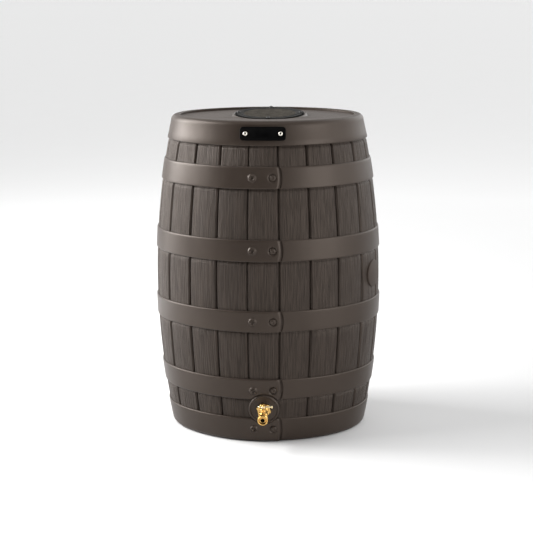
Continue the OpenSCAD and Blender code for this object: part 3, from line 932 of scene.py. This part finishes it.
def spigot_outlet():
    bm = bmesh.new()
    lathe(bm, OUTLET_ROOT, BOSS, 72)
    hex_nut(bm, 21.6, 41, 44.2, PORT_R, BOSS, math.radians(30), True)
    lathe(bm, OUTLET_NECK, BOSS, 72)
    thread(bm, THREAD_R, 0.9, 1.6, 58.8, 62.2, PORT_R, BOSS)
    lathe(bm, MOUTH_PROFILE, BOSS, 96)
    # Painted shade down the bore, and a painted dark reflection in the lower half of the mouth's groove.
    painted_shade(bm, BOSS, [(0, 5.65, 0, 64.3, ALL_ROUND), (7.5, 9.9, 62, 63.3, -5)])
    finish_piece("hose_outlet", bm, BRASS, "tank", ["spigot_outlet"])


def packing_nut():
    bm = bmesh.new()
    lathe(bm, PACKING_TUBE, STEM, 40)
    hex_nut(bm, 13, 16, 18.5, 3.1, STEM)
    finish_piece("gland_nut", bm, BRASS, "tank", ["packing_nut"])


def lever():
    bm = bmesh.new()
    lathe(bm, LEVER_HUB, STEM, 48)
    block(bm, (20, 5.8, 4.2), (12.5, 0, LEVER_S), STEM, 1.5)
    block(bm, (9, 5.4, 3.8), (-7, 0, LEVER_S), STEM, 1.4)
    end = STEM @ Matrix.Translation((0, 0, LEVER_S * MM)) @ Matrix.Rotation(math.pi / 2, 4, "Y")
    lathe(bm, LEVER_CAP, end, 40)
    ball(bm, 3.6, (-10.4, 0, LEVER_S), STEM, 0.85)
    finish_piece("lever_arm", bm, PALE_BRASS, "lever", ["lever_handle"])
    bm = bmesh.new()
    button_head(bm, STEM @ Matrix.Translation((0, 0, LEVER_HUB[-1][1] * MM)), 4.0, 3.2, 1.45, 5.4)
    finish_piece("lever_fixing", bm, BRASS, "lever", ["lever_screw"])


FINISHES = {
    SCREEN_BLACK: ("mesh_clamp_ring",),
    INSERT_BRASS: ("screen_inserts", "nameplate_inserts"),
    RUBBER: ("outer_gasket", "inner_gasket", "body_seal"),
    NUT_BLACK: ("bulkhead_nut",),
    CHROME: ("valve_ball",),
    BRASS: ("valve_stem",),
    WHITE_SEAL: ("valve_seats", "thrust_washer", "stem_packing"),
}


def carried_over():
    """CAD nodes whose shape is right get their real finish."""
    for material, names in FINISHES.items():
        for name in names:
            mesh = nodes[name].data
            mesh.materials.clear()
            mesh.materials.append(material)


# ---- Stage, in metres ----
WORLD_BEHIND = 1.45
WORLD_RIGHT = 2.25
WORLD_LEFT = 0.1
SOFT_BOX = (1.4, 2.0)
SOFT_BOX_AWAY = 2.8
SOFT_BOX_AIM = Vector((0, 0, 0.42))
# Each soft box is (azimuth from the front, positive to the right; elevation; power in watts)
SOFT_BOXES = {"key_low": (-100, 5, 35), "key_high": (-100, 30, 108), "key_front": (-80, 30, 76),
              "fill": (50, 4, 35), "overhead": (-5, 66, 10)}
CAMERA_LENS = 91.3
CAMERA_AWAY = 3.636
CAMERA_Z = 1.202
CAMERA_ANGLES = (3.0, 11.98, -0.3, 0.064)            # azimuth, pitch, roll and yaw in degrees
FLOOR_HALF = 400
# The floor's colour near the barrel is darker, as painted shade round it.
FLOOR_NEAR_SHADED = (0.64, 0.64, 0.64)
FLOOR_FAR = (0.97, 0.97, 0.97)
FLOOR_DUST = (0.6, 0.6, 0.6)


def camera():
    """The photo's view: a long lens, a little above the barrel and to its right."""
    data = bpy.data.cameras.new("camera")
    data.sensor_width = 36
    data.lens = CAMERA_LENS
    cam = bpy.data.objects.new("camera", data)
    bpy.context.scene.collection.objects.link(cam)
    azimuth, pitch, roll, yaw = (math.radians(a) for a in CAMERA_ANGLES)
    turn = Matrix.Rotation(azimuth + yaw, 4, "Z") @ Matrix.Rotation(math.pi / 2 - pitch, 4, "X")
    turn = turn @ Matrix.Rotation(roll, 4, "Z")
    place = Vector((CAMERA_AWAY * math.sin(azimuth), -CAMERA_AWAY * math.cos(azimuth), CAMERA_Z))
    cam.matrix_world = Matrix.Translation(place) @ turn
    data.clip_end = 1000
    bpy.context.scene.camera = cam


def soft_box(name, azimuth, elevation, power):
    """A rectangle of soft light that faces the middle of the barrel."""
    a, e = math.radians(azimuth), math.radians(elevation)
    out = Vector((math.sin(a) * math.cos(e), -math.cos(a) * math.cos(e), math.sin(e)))
    data = bpy.data.lights.new(name, "AREA")
    data.shape = "RECTANGLE"
    data.size, data.size_y = SOFT_BOX
    data.energy = power
    lamp = bpy.data.objects.new(name, data)
    bpy.context.scene.collection.objects.link(lamp)
    lamp.location = SOFT_BOX_AIM + out * SOFT_BOX_AWAY
    lamp.rotation_euler = out.to_track_quat("Z", "Y").to_euler()


def studio_world():
    """Broad soft light: a dim room in front of the barrel, bright behind it and on its right."""
    world = bpy.data.worlds.new("studio")
    bpy.context.scene.world = world
    world.use_nodes = True
    tree = world.node_tree
    back = tree.nodes["Background"]
    back.inputs["Color"].default_value = (1, 1, 1, 1)
    direction = add(tree, "ShaderNodeTexCoord").outputs["Generated"]
    parts = separate(tree, direction)
    x, y = parts["X"], parts["Y"]
    light = maths(tree, "MULTIPLY", maths(tree, "MAXIMUM", y, 0), WORLD_BEHIND)
    light = maths(tree, "ADD", light, maths(tree, "MULTIPLY", maths(tree, "MAXIMUM", x, 0), WORLD_RIGHT))
    left = maths(tree, "MAXIMUM", maths(tree, "MULTIPLY", x, -1), 0)
    light = maths(tree, "ADD", light, maths(tree, "MULTIPLY", left, WORLD_LEFT))
    tree.links.new(light, back.inputs["Strength"])


def floor_paint():
    """Pale floor with painted shade round the barrel: darker near it and lighter further away."""
    mat, tree, bsdf = new_material("floor")
    away = add(tree, "ShaderNodeVectorMath", operation="LENGTH")
    tree.links.new(object_place(tree), away.inputs[0])
    dust = noise_texture(tree, 3.0)
    # Painted shade: the floor is darkest within a metre of the barrel and pales out to four metres.
    pale = ramp(tree, away.outputs["Value"], 1.0, 4.0, 0.0, 1.0)
    colour = mix_colour(tree, pale, FLOOR_NEAR_SHADED, FLOOR_FAR)
    dusty = mix_colour(tree, ramp(tree, dust, 0.3, 0.7, 0.0, 0.02), colour, FLOOR_DUST)
    tree.links.new(dusty, bsdf.inputs["Base Color"])
    bsdf.inputs["Roughness"].default_value = 0.9
    return mat


def stage():
    bm = bmesh.new()
    bmesh.ops.create_grid(bm, x_segments=1, y_segments=1, size=FLOOR_HALF)
    mesh = bpy.data.meshes.new("floor")
    bm.to_mesh(mesh)
    bm.free()
    floor = bpy.data.objects.new("floor", mesh)
    bpy.context.scene.collection.objects.link(floor)
    mesh.materials.append(floor_paint())
    studio_world()
    for name, (azimuth, elevation, power) in SOFT_BOXES.items():
        soft_box(name, azimuth, elevation, power)
    bpy.context.scene.view_settings.view_transform = "Standard"


camera()
stage()
barrel_skin()
screen_frame()
screen_mesh()
nameplate()
spigot_body()
spigot_outlet()
packing_nut()
lever()
carried_over()
